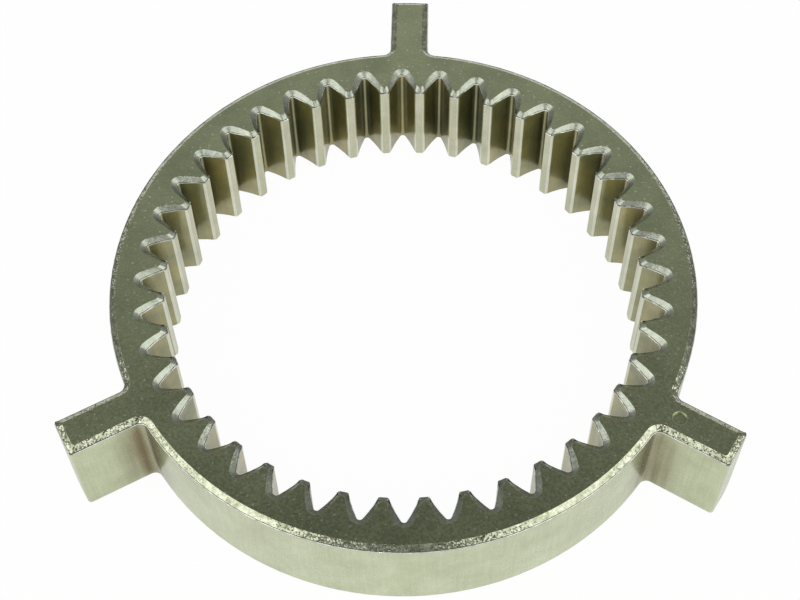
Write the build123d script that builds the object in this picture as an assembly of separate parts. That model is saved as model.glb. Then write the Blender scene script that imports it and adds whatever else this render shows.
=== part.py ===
from build123d import *
import os
from math import acos, cos, hypot, pi, radians, sin, sqrt, tan

# Internal ring gear for a planetary reduction, pressed and sintered from steel powder in one piece.
# Millimetres, +Z up. The gear axis is Z and the lower face lies on z = 0.
# One lug points to +Y, and the other two stand a third of a turn from it on either side.

# Teeth
TEETH = 40
MODULE = 1.5
PRESSURE_ANGLE = radians(28)
ADDENDUM = 1.4
TOOTH_TIP_BREAK = 0.15
# The teeth are thicker than the spaces at the pitch circle: each flank stands this far into its space
FLANK_ALLOWANCE = 0.055
# Each root is one full round, with its centre this far outside the pitch circle
ROOT_CENTRE_DEPTH = 1.2

# Ring, with its wall measured from the tooth roots to the outside
RING_WALL = 3.67
FACE_WIDTH = 13.3

# Lugs that key the ring against turning in its housing
LUG_ANGLES = (90, 210, 330)
MARKED_LUG_ANGLE = 330
LUG_WIDTH = 4.9
LUG_LENGTH = 9.0
LUG_ROOT_FILLET = 1.0
LUG_CORNER_RADIUS = 0.45

# Edge break left by the punch: a narrow flat at the edge, and then a chamfer up to the face
CHAMFER_DEPTH = 0.45
CHAMFER_WIDTH = 0.8
PUNCH_FLAT = 0.15
# Along a tooth flank the chamfer is narrower by this at each drawn point, from the tooth tip outward,
# which leaves the face broad at the tip
FLANK_NARROWING = (0.5, 0.2, 0.0)

# Round pressed mark, with steep sides, that shows which lug stands over a tooth
MARK_RADIUS = 0.8
MARK_FLOOR_RADIUS = 0.74
MARK_DEPTH = 0.3
# Distance of the mark's centre outside the ring, along the lug
MARK_OFFSET = 1.55

PITCH_RADIUS = MODULE * TEETH / 2
BASE_RADIUS = PITCH_RADIUS * cos(PRESSURE_ANGLE)


def involute(angle):
    return tan(angle) - angle


def space_half_angle(radius, inset):
    """Half the angle of a tooth space. Insetting the steel moves an involute along its base circle."""
    at_radius = involute(acos(BASE_RADIUS / radius))
    moved = (inset - FLANK_ALLOWANCE) / BASE_RADIUS
    return pi / (2 * TEETH) + involute(PRESSURE_ANGLE) - at_radius + moved


# Sizes that follow from those above
TIP_RADIUS = PITCH_RADIUS - ADDENDUM
ROOT_CENTRE_RADIUS = PITCH_RADIUS + ROOT_CENTRE_DEPTH
# The round's centre lies on a flank moved onto the middle of the space, which gives its radius
ROOT_ROUND = BASE_RADIUS * space_half_angle(ROOT_CENTRE_RADIUS, 0)
OUTER_RADIUS = ROOT_CENTRE_RADIUS + ROOT_ROUND + RING_WALL
LUG_REACH = OUTER_RADIUS + LUG_LENGTH
CHAMFER_FOOT = FACE_WIDTH - CHAMFER_DEPTH
PITCH_STEP = 360 / TEETH
FIRST_SPACE_ANGLE = MARKED_LUG_ANGLE + PITCH_STEP / 2
# The flanks of a chamfer cutter start this far inside the tooth tips
CUTTER_OVERLAP = 0.5
FLANK_START = TIP_RADIUS - CUTTER_OVERLAP
# A flank without narrowing is drawn through as many points
FLANK_EVEN = (0.0,) * len(FLANK_NARROWING)
# The bore cutter runs past the face that it opens by this much
CUT_PAST = 1.0
# Points closer than this are taken as the same place
SAME_PLACE = 0.01


def at(radius, angle):
    return (radius * cos(angle), radius * sin(angle))


def space_outline(inset, start=FLANK_START, narrowing=FLANK_EVEN):
    """One tooth space on the X axis, with the steel around it cut back by the inset.

    A line square to a flank touches the base circle, which gives the place where flank and round meet.
    """
    root_round = ROOT_ROUND + inset
    centre_to_base = sqrt(ROOT_CENTRE_RADIUS**2 - BASE_RADIUS**2)
    end = hypot(BASE_RADIUS, centre_to_base + root_round)
    step = (end - start) / (len(narrowing) - 1)
    flank = []
    for index, less in enumerate(narrowing):
        radius = start + index * step
        flank.append(at(radius, space_half_angle(radius, inset - less)))
    other_flank = [(x, -y) for x, y in flank]
    root = (ROOT_CENTRE_RADIUS + root_round, 0)
    edges = [
        Spline(*flank),
        ThreePointArc(flank[-1], root, other_flank[-1]),
        Spline(*other_flank),
        Line(flank[0], other_flank[0]),
    ]
    return make_face(Wire(edges))


def wall_space_outline():
    """A tooth space whose mouth widens to the bore, which breaks the corners of the tooth tips."""
    start = TIP_RADIUS + TOOTH_TIP_BREAK
    flank_end = at(start, space_half_angle(start, 0))
    land_end = at(TIP_RADIUS, space_half_angle(TIP_RADIUS, TOOTH_TIP_BREAK))
    corners = [flank_end, land_end, (land_end[0], -land_end[1]), (flank_end[0], -flank_end[1])]
    return make_face(Polyline(*corners, close=True)) + space_outline(0, start)


def body_outline(inset):
    """The ring and its lugs seen from above, without the bore, cut back by the inset."""
    outline = Circle(OUTER_RADIUS - inset)
    length = LUG_REACH - inset
    width = LUG_WIDTH - 2 * inset
    for angle in LUG_ANGLES:
        bar = Rectangle(length, width, align=(Align.MIN, Align.CENTER)).rotate(Axis.Z, angle)
        outline += bar & Circle(LUG_REACH - inset)
    roots = [v for v in outline.vertices() if abs(Vector(v).length - OUTER_RADIUS + inset) < SAME_PLACE]
    return fillet(roots, LUG_ROOT_FILLET + inset)


def edge_band(foot, face):
    """The layer above the chamfer's foot, between the outlines of the punch flat and of the face."""
    return loft([Pos(0, 0, CHAMFER_FOOT) * foot, Pos(0, 0, FACE_WIDTH) * face], ruled=True)


def make_body():
    """Ring and lugs, solid across the bore."""
    outline = body_outline(0)
    ends = [v for v in outline.vertices() if Vector(v).length > LUG_REACH - LUG_CORNER_RADIUS]
    lower = extrude(fillet(ends, LUG_CORNER_RADIUS), CHAMFER_FOOT)
    return lower + edge_band(body_outline(PUNCH_FLAT), body_outline(CHAMFER_WIDTH))


def make_bore():
    """Bore through the tooth tips, opened by the chamfer over the tip lands."""
    bore = extrude(Circle(TIP_RADIUS), FACE_WIDTH + CUT_PAST)
    return bore + edge_band(Circle(TIP_RADIUS + PUNCH_FLAT), Circle(TIP_RADIUS + CHAMFER_WIDTH))


def make_spaces():
    """All tooth spaces, each one chamfered round its upper end."""
    face = space_outline(CHAMFER_WIDTH, narrowing=FLANK_NARROWING)
    space = extrude(wall_space_outline(), FACE_WIDTH) + edge_band(space_outline(PUNCH_FLAT), face)
    return [Rot(0, 0, FIRST_SPACE_ANGLE + PITCH_STEP * index) * space for index in range(TEETH)]


def make_mark():
    floor = Pos(0, 0, FACE_WIDTH - MARK_DEPTH) * Circle(MARK_FLOOR_RADIUS)
    rim = Pos(0, 0, FACE_WIDTH) * Circle(MARK_RADIUS)
    return Rot(0, 0, MARKED_LUG_ANGLE) * Pos(OUTER_RADIUS + MARK_OFFSET, 0, 0) * loft([floor, rim])


os.makedirs("parts", exist_ok=True)
ring_gear = make_body() - make_bore() - make_spaces() - make_mark()
ring_gear.label = "ring_gear"
export_step(ring_gear, "parts/ring_gear.step")
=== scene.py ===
import bmesh
import bpy
from math import hypot, radians
from mathutils import Matrix, Vector


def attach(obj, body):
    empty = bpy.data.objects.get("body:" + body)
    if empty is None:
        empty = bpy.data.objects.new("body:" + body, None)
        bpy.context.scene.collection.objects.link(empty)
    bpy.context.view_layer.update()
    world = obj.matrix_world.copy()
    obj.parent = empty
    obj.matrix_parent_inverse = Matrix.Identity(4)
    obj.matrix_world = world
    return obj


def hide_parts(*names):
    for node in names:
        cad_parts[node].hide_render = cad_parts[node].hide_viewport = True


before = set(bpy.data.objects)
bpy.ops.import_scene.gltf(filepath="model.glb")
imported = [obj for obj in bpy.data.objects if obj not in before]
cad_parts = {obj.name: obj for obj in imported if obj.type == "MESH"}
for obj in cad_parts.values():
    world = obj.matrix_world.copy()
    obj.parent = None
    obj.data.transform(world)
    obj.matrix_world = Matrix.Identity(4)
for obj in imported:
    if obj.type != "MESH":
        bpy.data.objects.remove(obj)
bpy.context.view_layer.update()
MM = 0.001


# ---- Ring gear: one pressed and sintered piece of steel powder ------------------------------------
# The powder is pressed in a die around a toothed core, pushed out upwards and sintered. The die leaves
# every upright wall drawn and bright. The punch leaves the upper face matt, and coins its edges to a
# chamfer with a narrow flat at its foot.

# Points closer than the first are one, and heights closer than the second are the same
WELD = 0.0005 * MM
SAME_HEIGHT = 0.02 * MM
# Facets of a wall that turn by less than the first are joined, and edges sharper than the second rounded
JOINED_ANGLE = radians(2)
SHARP_ANGLE = radians(24)
# How far up a normal points: more than the first on a flat face, and than the second on a chamfer
FLAT_UPWARD = 0.999
CHAMFER_UPWARD = 0.5
# Deeper than the mark, and not as deep as the foot of a chamfer
BELOW_MARK = 0.35 * MM
# Outside the first radius a wall is the ring's or a lug's, and inside the second it is a tooth's land
OUTER_RADIUS = 33.5 * MM
LAND_RADIUS = 28.72 * MM

# The punch is rounded where two chamfers meet, and wear has rounded the other edges. Each rounding is a
# width and a number of steps.
COINED_CORNER = (0.26 * MM, 4)
LAND_CORNER = (0.2 * MM, 4)
MARK_RIM = (0.1 * MM, 3)
LOWER_TOOTH_EDGE = (0.25 * MM, 3)
LOWER_EDGE = (0.12 * MM, 2)
OTHER_EDGE = (0.018 * MM, 2)
# Powder squeezed between punch and die is a bright strip at the top of each wall, and leans back a little
BURR_HEIGHT = 0.14 * MM
BURR_LEAN = 0.105 * MM
# How much more a flat face counts than the others around a corner of it, so that it shades flat
FLAT_WEIGHT = 10000

FINISHES = (
    "punch_face", "outer_chamfer", "tooth_chamfer", "punch_flat", "die_wall", "tooth_flank",
    "tooth_land", "painted_highlight_edge", "burr",
)


def from_axis(place):
    return hypot(place.x, place.y)


def is_flat(face):
    return abs(face.normal.z) > FLAT_UPWARD


def finish_of(face, top):
    """Which of the finishes a face has, from where it lies and which way it looks."""
    centre = face.calc_center_median()
    outside = from_axis(centre) > OUTER_RADIUS
    if is_flat(face):
        return "punch_flat" if SAME_HEIGHT < centre.z < top - BELOW_MARK else "punch_face"
    if face.normal.z > CHAMFER_UPWARD:
        return "outer_chamfer" if outside else "tooth_chamfer"
    if centre.z > top - BELOW_MARK:
        return "punch_face"
    if from_axis(centre) < LAND_RADIUS:
        return "tooth_land"
    return "die_wall" if outside else "tooth_flank"


def has_finish(face, *names):
    return FINISHES[face.material_index] in names


def sharp_edges(skin, test):
    """The sharp edges whose two faces pass the test, in one order or the other."""
    found = []
    for edge in skin.edges:
        if edge.calc_face_angle(0) > SHARP_ANGLE:
            one, other = edge.link_faces
            if test(one, other) or test(other, one):
                found.append(edge)
    return found


def round_edges(skin, edges, rounding, finish=None):
    """Rounds edges. Without a finish of their own, the new faces keep that of the faces beside them."""
    width, steps = rounding
    bmesh.ops.bevel(
        skin, geom=edges, offset=width, offset_type="OFFSET", segments=steps, profile=0.5,
        affect="EDGES", clamp_overlap=False, material=FINISHES.index(finish) if finish else -1,
    )


def make_burr(skin, foot, upright):
    """Parts a strip from the top of every wall, and leans it back onto the flat at the chamfers' foot."""
    lower_end = foot - BURR_HEIGHT
    bmesh.ops.bisect_plane(
        skin, geom=[*skin.verts, *skin.edges, *skin.faces], dist=WELD,
        plane_co=(0, 0, lower_end), plane_no=(0, 0, 1),
    )
    strip = [f for f in skin.faces if has_finish(f, *upright) and f.calc_center_median().z > lower_end]
    for face in strip:
        face.material_index = FINISHES.index("burr")
    skin.normal_update()
    outward = {}
    for vert in {v for face in strip for v in face.verts if v.co.z > foot - SAME_HEIGHT}:
        total = sum((f.normal for f in vert.link_faces if has_finish(f, "burr")), Vector())
        outward[vert] = total.normalized()
    for vert, direction in outward.items():
        vert.co -= BURR_LEAN * direction


def keep_inside(skin, low, high):
    """Moves any point that a rounding pushed out of the solid's own box back onto it."""
    for vert in skin.verts:
        vert.co = [min(max(value, least), most) for value, least, most in zip(vert.co, low, high)]


def shading_normal(vert):
    """The mean normal of the faces around a point, by their area, where a flat one outweighs the rest."""
    total = Vector()
    for face in vert.link_faces:
        total += face.normal * face.calc_area() * (FLAT_WEIGHT if is_flat(face) else 1)
    return total.normalized()


def make_ring_gear():
    """The solid's mesh as one closed skin, with its edges rounded and a finish on each face."""
    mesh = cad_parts["ring_gear"].data.copy()
    mesh.name = "ring_gear_steel"
    mesh.materials.clear()
    skin = bmesh.new()
    skin.from_mesh(mesh)
    bmesh.ops.remove_doubles(skin, verts=skin.verts, dist=WELD)
    low = [min(vert.co[axis] for vert in skin.verts) for axis in range(3)]
    high = [max(vert.co[axis] for vert in skin.verts) for axis in range(3)]
    top = high[2]
    for face in skin.faces:
        face.material_index = FINISHES.index(finish_of(face, top))
    foot = max(f.calc_center_median().z for f in skin.faces if has_finish(f, "punch_flat"))
    walls = [e for e in skin.edges if not any(is_flat(f) for f in e.link_faces)]
    wall_verts = list({v for e in walls for v in e.verts if not any(is_flat(f) for f in v.link_faces)})
    bmesh.ops.dissolve_limit(skin, angle_limit=JOINED_ANGLE, verts=wall_verts, edges=walls)

    chamfers = ("outer_chamfer", "tooth_chamfer")
    in_teeth = ("tooth_flank", "tooth_land", "painted_highlight_edge")
    upright = ("die_wall", *in_teeth)

    def between(names, other_names):
        return lambda one, other: has_finish(one, *names) and has_finish(other, *other_names)

    def at_bottom(names):
        return lambda one, other: one.calc_center_median().z < SAME_HEIGHT and has_finish(other, *names)

    def on_mark(one, other):
        return one.calc_center_median().z > top - SAME_HEIGHT and has_finish(other, "punch_face")

    def off_burr(one, other):
        return not has_finish(one, "burr") and not has_finish(other, "burr")

    round_edges(skin, sharp_edges(skin, between(chamfers, chamfers)), COINED_CORNER)
    # The land's rounded corners get a lighter finish, a painted highlight
    land_corners = sharp_edges(skin, between(("tooth_land",), ("tooth_flank",)))
    round_edges(skin, land_corners, LAND_CORNER, "painted_highlight_edge")
    round_edges(skin, sharp_edges(skin, on_mark), MARK_RIM)
    make_burr(skin, foot, upright)
    round_edges(skin, sharp_edges(skin, at_bottom(in_teeth)), LOWER_TOOTH_EDGE)
    round_edges(skin, sharp_edges(skin, at_bottom(("die_wall",))), LOWER_EDGE)
    round_edges(skin, sharp_edges(skin, off_burr), OTHER_EDGE)
    keep_inside(skin, low, high)
    for face in skin.faces:
        face.smooth = True
    normals = [shading_normal(vert) for vert in skin.verts]
    skin.to_mesh(mesh)
    skin.free()
    # The solid's mesh is marked sharp all over, which would undo the normals that are set next
    for name in ("sharp_face", "sharp_edge"):
        if name in mesh.attributes:
            mesh.attributes.remove(mesh.attributes[name])
    mesh.normals_split_custom_set_from_vertices(normals)
    return mesh


def linear(hex_colour):
    """An sRGB hex colour as the linear colour that a shader takes."""
    parts = [int(hex_colour[i:i + 2], 16) / 255 for i in (1, 3, 5)]
    return [p / 12.92 if p <= 0.04045 else ((p + 0.055) / 1.055) ** 2.4 for p in parts] + [1]


def add_node(owner, kind, inputs=None, **settings):
    """Adds a shader node to a material or a world. An input takes a value, or an output to link."""
    tree = owner.node_tree
    node = tree.nodes.new("ShaderNode" + kind)
    for name, value in settings.items():
        setattr(node, name, value)
    for name, value in (inputs or {}).items():
        if isinstance(value, bpy.types.NodeSocket):
            tree.links.new(value, node.inputs[name])
        else:
            node.inputs[name].default_value = value
    return node


def new_material(name):
    """An empty material, with its output node."""
    material = bpy.data.materials.new(name)
    material.use_nodes = True
    material.node_tree.nodes.clear()
    return material, add_node(material, "OutputMaterial")


def per_metre(millimetres):
    """The texture scale of a pattern that repeats about every so many millimetres."""
    return 1 / (millimetres * MM)


# Sizes in mm. The real lines and powder grains are under a tenth of a millimetre, too fine to show from
# a step away, so they are drawn coarser.
LINE_WIDTH = 0.3
LINE_DEPTH = 0.003
GLINT_SPACING = 0.35
RUN_WIDTH = 1.6
# How many times longer than wide a line that the die drew is
LINE_STRETCH = 25
# How far from a face the walls around it still lay stain and painted shade on it
SHADE_REACH = 5 * MM
# The middle part of a noise texture's range, and its rare peaks
NOISE_MIDDLE = {"From Min": 0.3, "From Max": 0.7}
NOISE_PEAKS = {"From Min": 0.74, "From Max": 0.78}
# Where the stain and painted shade have run off, and how much of it is left there
RUN_RANGE = {"From Min": 0.35, "From Max": 0.6, "To Min": 0.45, "To Max": 1}
LINE_SHADE = 0.9
GLOSS_CHANGE = 0.04


def sintered_steel(name, light, dark, roughness, grain, grain_depth, cloud=5, drawn=False,
                   stain_and_shade=None, painted_glint=0.0, torn=0.0):
    """Bare sintered steel: powder grains pressed flat, cloudy in tone, and drawn by the die if upright.

    The grain, its depth and the cloud are in mm. Stain and shade is a colour laid on where walls close in,
    which stands for a stain of oil and oxide and for painted shade, and two shares of open space: it is
    whole up to the first, and gone from the second. Painted glint is how near white a few grains are
    painted, as glints, and torn is how far the facets of a torn face tilt.
    """
    material, output = new_material("sintered_steel_" + name)
    place = add_node(material, "TexCoord").outputs["Object"]
    along_die = add_node(material, "Mapping", {
        "Vector": place, "Scale": (1, 1, 1 / LINE_STRETCH if drawn else 1)})
    lines = add_node(material, "TexNoise", {
        "Vector": along_die.outputs["Vector"], "Scale": per_metre(LINE_WIDTH), "Detail": 3, "Roughness": 0.6})
    grains = add_node(material, "TexNoise", {
        "Vector": place, "Scale": per_metre(grain), "Detail": 2, "Roughness": 0.5})
    clouds = add_node(material, "TexNoise", {
        "Vector": place, "Scale": per_metre(cloud), "Detail": 4, "Roughness": 0.65})
    cloud_share = add_node(material, "MapRange", {"Value": clouds.outputs["Fac"], **NOISE_MIDDLE})
    tone = add_node(material, "MixRGB", {
        "Fac": cloud_share.outputs["Result"], "Color1": linear(dark), "Color2": linear(light)})
    # Stain and painted shade: a colour laid on by how closely the walls around a face close in
    if stain_and_shade:
        stain_and_shade_colour, whole_at, gone_at = stain_and_shade
        corner = add_node(material, "AmbientOcclusion", {"Distance": SHADE_REACH}, only_local=True, samples=8)
        stain_and_shade_amount = add_node(material, "MapRange", {
            "Value": corner.outputs["AO"], "From Min": whole_at, "From Max": gone_at,
            "To Min": 1, "To Max": 0})
        runs = add_node(material, "TexNoise", {
            "Vector": along_die.outputs["Vector"], "Scale": per_metre(RUN_WIDTH), "Detail": 2})
        left_on = add_node(material, "MapRange", {"Value": runs.outputs["Fac"], **RUN_RANGE})
        stain_and_shade_share = add_node(material, "Math", {
            0: stain_and_shade_amount.outputs["Result"], 1: left_on.outputs["Result"]}, operation="MULTIPLY")
        tone = add_node(material, "MixRGB", {
            "Fac": stain_and_shade_share.outputs["Value"], "Color1": tone.outputs["Color"],
            "Color2": linear(stain_and_shade_colour)})
    shade = add_node(material, "MapRange", {
        "Value": lines.outputs["Fac"], **NOISE_MIDDLE, "To Min": LINE_SHADE, "To Max": 1})
    tone = add_node(material, "MixRGB", {
        "Fac": 1, "Color1": tone.outputs["Color"], "Color2": shade.outputs["Result"]}, blend_type="MULTIPLY")
    # Painted glints: a few grains whitened, for the light that they catch
    if painted_glint:
        glint_noise = add_node(material, "TexNoise", {
            "Vector": place, "Scale": per_metre(GLINT_SPACING), "Detail": 0})
        glint_share = add_node(material, "MapRange", {
            "Value": glint_noise.outputs["Fac"], **NOISE_PEAKS, "To Max": painted_glint})
        tone = add_node(material, "MixRGB", {
            "Fac": glint_share.outputs["Result"], "Color1": tone.outputs["Color"], "Color2": linear("#ffffff")})
    gloss = add_node(material, "MapRange", {
        "Value": grains.outputs["Fac"], **NOISE_MIDDLE,
        "To Min": roughness - GLOSS_CHANGE, "To Max": roughness + GLOSS_CHANGE})
    drawn_lines = add_node(material, "Bump", {
        "Height": lines.outputs["Fac"], "Distance": LINE_DEPTH * MM, "Strength": 1})
    if torn:
        facets = add_node(material, "TexVoronoi", {"Vector": place, "Scale": per_metre(grain)})
        tilted = add_node(material, "NormalMap", {
            "Color": facets.outputs["Color"], "Strength": torn}, space="OBJECT")
        material.node_tree.links.new(tilted.outputs["Normal"], drawn_lines.inputs["Normal"])
    pressed_grains = add_node(material, "Bump", {
        "Height": grains.outputs["Fac"], "Distance": grain_depth * MM, "Strength": 1,
        "Normal": drawn_lines.outputs["Normal"]})
    steel = add_node(material, "BsdfPrincipled", {
        "Base Color": tone.outputs["Color"], "Metallic": 1,
        "Roughness": gloss.outputs["Result"], "Normal": pressed_grains.outputs["Normal"]})
    material.node_tree.links.new(steel.outputs["BSDF"], output.inputs["Surface"])
    return material


STEELS = {
    # Matt olive grey, with a few grains painted near white as glints
    "punch_face": {
        "light": "#b5be98", "dark": "#9fa886", "roughness": 0.28, "grain": 0.3, "grain_depth": 0.006,
        "painted_glint": 0.5},
    # Torn into facets that sparkle, for the powder at the outer edge was pressed least
    "outer_chamfer": {
        "light": "#ccd0b8", "dark": "#868b70", "roughness": 0.12, "grain": 0.17, "grain_depth": 0.004,
        "cloud": 0.8, "torn": 0.1},
    # Smoother than the outer one, and pale
    "tooth_chamfer": {
        "light": "#b3b9a8", "dark": "#9ca193", "roughness": 0.3, "grain": 0.2, "grain_depth": 0.008,
        "cloud": 1, "torn": 0.05},
    # Painted shade: much darker than the face, as shade in the crease at the foot of a chamfer
    "punch_flat": {
        "light": "#6e725a", "dark": "#4e503e", "roughness": 0.35, "grain": 0.3, "grain_depth": 0.006,
        "cloud": 1.2},
    # Bright and drawn, with a brown stain in the corners under the lugs that is also painted shade there
    "die_wall": {
        "light": "#d1d8b8", "dark": "#bec4a2", "roughness": 0.25, "grain": 0.3, "grain_depth": 0.003,
        "drawn": True, "stain_and_shade": ("#664c14", 0.68, 1.0)},
    # Browner than the outside, for the core's grease burned in, and darker deep between the teeth with
    # painted shade
    "tooth_flank": {
        "light": "#beb588", "dark": "#95997c", "roughness": 0.22, "grain": 0.3, "grain_depth": 0.003,
        "drawn": True, "stain_and_shade": ("#36392c", 0.2, 0.65)},
    # Clean and pale, with lines that the core drew along it
    "tooth_land": {
        "light": "#d8d9bf", "dark": "#c2c2a7", "roughness": 0.25, "grain": 0.3, "grain_depth": 0.003,
        "drawn": True},
    # Painted highlight: much lighter than the land, for the brighter light that the rounded land corners
    # mirror
    "painted_highlight_edge": {
        "light": "#eef0de", "dark": "#d8dac4", "roughness": 0.2, "grain": 0.3, "grain_depth": 0.003,
        "drawn": True},
    # The strip that the gap between punch and die leaves, painted near white in dashes as a highlight, the
    # brightest line on the gear
    "burr": {
        "light": "#fdfdf8", "dark": "#b4b4a4", "roughness": 0.2, "grain": 0.4, "grain_depth": 0.003,
        "cloud": 1},
}

ring_gear = bpy.data.objects.new("ring_gear_steel", make_ring_gear())
bpy.context.scene.collection.objects.link(ring_gear)
for finish in FINISHES:
    ring_gear.data.materials.append(sintered_steel(finish, **STEELS[finish]))
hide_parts("ring_gear")
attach(ring_gear, "root")


# ---- Table: a plain white sheet ------------------------------------------------------------------
# Smooth white card under the gear. It fills the view, so its own white is the background, and it
# still takes the gear's shadow.

SHEET_SIZE = 1.5
SHEET_WHITE = "#f4f4f2"
# The share of plain white in what the camera sees of the card, and in what the steel mirrors of it. The
# rest is the card as it is lit, with the gear's shadow.
SEEN_WHITE = 0.97
MIRRORED_WHITE = 0.6

card, card_output = new_material("white_card")
path = add_node(card, "LightPath")
seen = add_node(card, "Math", {0: path.outputs["Is Camera Ray"], 1: path.outputs["Is Transmission Ray"]},
                operation="MAXIMUM")
seen_share = add_node(card, "Math", {0: seen.outputs["Value"], 1: SEEN_WHITE}, operation="MULTIPLY")
mirrored_share = add_node(card, "Math", {0: path.outputs["Is Glossy Ray"], 1: MIRRORED_WHITE},
                          operation="MULTIPLY")
white_share = add_node(card, "Math", {0: seen_share.outputs["Value"], 1: mirrored_share.outputs["Value"]},
                       operation="MAXIMUM")
matt_card = add_node(card, "BsdfDiffuse", {"Color": linear(SHEET_WHITE)})
plain_white = add_node(card, "Emission", {"Color": linear("#ffffff"), "Strength": 1})
card_mix = add_node(card, "MixShader", {
    0: white_share.outputs["Value"], 1: matt_card.outputs["BSDF"], 2: plain_white.outputs["Emission"]})
card.node_tree.links.new(card_mix.outputs["Shader"], card_output.inputs["Surface"])

sheet_mesh = bpy.data.meshes.new("white_sheet")
sheet_form = bmesh.new()
bmesh.ops.create_grid(sheet_form, x_segments=1, y_segments=1, size=SHEET_SIZE)
sheet_form.to_mesh(sheet_mesh)
sheet_form.free()
sheet_mesh.materials.append(card)
sheet = bpy.data.objects.new("white_sheet", sheet_mesh)
bpy.context.scene.collection.objects.link(sheet)


# ---- Light: a plain room with a soft box at each side ---------------------------------------------
# The front of the room is white down low, and the rear is brightest half-way up. It gets dark higher up,
# where the upper face mirrors it. Each pair is a height, as the upward part of a direction, and a level.

ROOM_FRONT = ((0.0, 0.9), (0.35, 0.9), (0.55, 0.4), (0.76, 0.13), (0.9, 0.45), (1.0, 0.12))
ROOM_REAR = (
    (0.0, 0.2), (0.16, 0.2), (0.3, 0.3), (0.45, 0.42), (0.6, 0.6), (0.79, 0.36), (0.9, 0.09), (1.0, 0.09),
)
ROOM_STRENGTH = 1.25
# How far to each side of the middle the front fades into the rear
ROOM_FADE = 0.15

room = bpy.data.worlds.new("studio_room")
bpy.context.scene.world = room
room.use_nodes = True
room.node_tree.nodes.clear()
room_output = add_node(room, "OutputWorld")
direction = add_node(room, "TexCoord").outputs["Generated"]
heading = add_node(room, "SeparateXYZ", {"Vector": direction})


def level_by_height(levels):
    """The room's brightness from its pairs of a height and a level."""
    ramp = add_node(room, "ValToRGB", {"Fac": heading.outputs["Z"]})
    ramp.color_ramp.interpolation = "EASE"
    stops = ramp.color_ramp.elements
    while len(stops) < len(levels):
        stops.new(0.5)
    for stop, (height, level) in zip(stops, levels):
        stop.position = height
        stop.color = (level, level, level, 1)
    return ramp.outputs["Color"]


to_rear = add_node(room, "MapRange", {
    "Value": heading.outputs["Y"], "From Min": -ROOM_FADE, "From Max": ROOM_FADE})
room_level = add_node(room, "MixRGB", {
    "Fac": to_rear.outputs["Result"], "Color1": level_by_height(ROOM_FRONT),
    "Color2": level_by_height(ROOM_REAR)})
room_light = add_node(room, "Background", {"Color": room_level.outputs["Color"], "Strength": ROOM_STRENGTH})
room.node_tree.links.new(room_light.outputs["Background"], room_output.inputs["Surface"])


def soft_box(name, azimuth, elevation, distance, width, height, watts):
    """A soft box that looks at the gear from an azimuth (0 is the camera's side) and elevation."""
    light = bpy.data.lights.new(name, "AREA")
    light.shape = "RECTANGLE"
    light.size = width
    light.size_y = height
    light.energy = watts
    box = bpy.data.objects.new(name, light)
    turn = Matrix.Rotation(radians(azimuth), 4, "Z") @ Matrix.Rotation(radians(90 - elevation), 4, "X")
    box.matrix_world = turn @ Matrix.Translation((0, 0, distance))
    bpy.context.scene.collection.objects.link(box)


for side_name, side in (("left_soft_box", -1), ("right_soft_box", 1)):
    soft_box(side_name, azimuth=side * 65, elevation=45, distance=0.6, width=0.6, height=0.45, watts=1.25)
# A small one that puts a spark on grains and rounded corners
soft_box("spark", azimuth=-8, elevation=58, distance=0.6, width=0.04, height=0.04, watts=0.05)


# ---- Camera: a short telephoto lens that looks down at the gear from the front --------------------

CAMERA_AZIMUTH = radians(2.298)
CAMERA_ELEVATION = radians(58.282)
CAMERA_ROLL = radians(-1.139)
CAMERA_DISTANCE = 205.46 * MM
CAMERA_AIM = Vector((-0.40, 5.06, 0)) * MM
LENS_LENGTH = 71.79
SENSOR_WIDTH = 36
NEAREST_SEEN = 0.01

lens = bpy.data.cameras.new("camera")
lens.lens = LENS_LENGTH
lens.sensor_width = SENSOR_WIDTH
lens.clip_start = NEAREST_SEEN
camera = bpy.data.objects.new("camera", lens)
around = Matrix.Rotation(CAMERA_AZIMUTH, 4, "Z")
tilt = Matrix.Rotation(radians(90) - CAMERA_ELEVATION, 4, "X")
roll = Matrix.Rotation(CAMERA_ROLL, 4, "Z")
step_back = Matrix.Translation((0, 0, CAMERA_DISTANCE))
camera.matrix_world = around @ Matrix.Translation(CAMERA_AIM) @ tilt @ roll @ step_back
bpy.context.scene.collection.objects.link(camera)
bpy.context.scene.camera = camera
bpy.context.scene.view_settings.view_transform = "Standard"
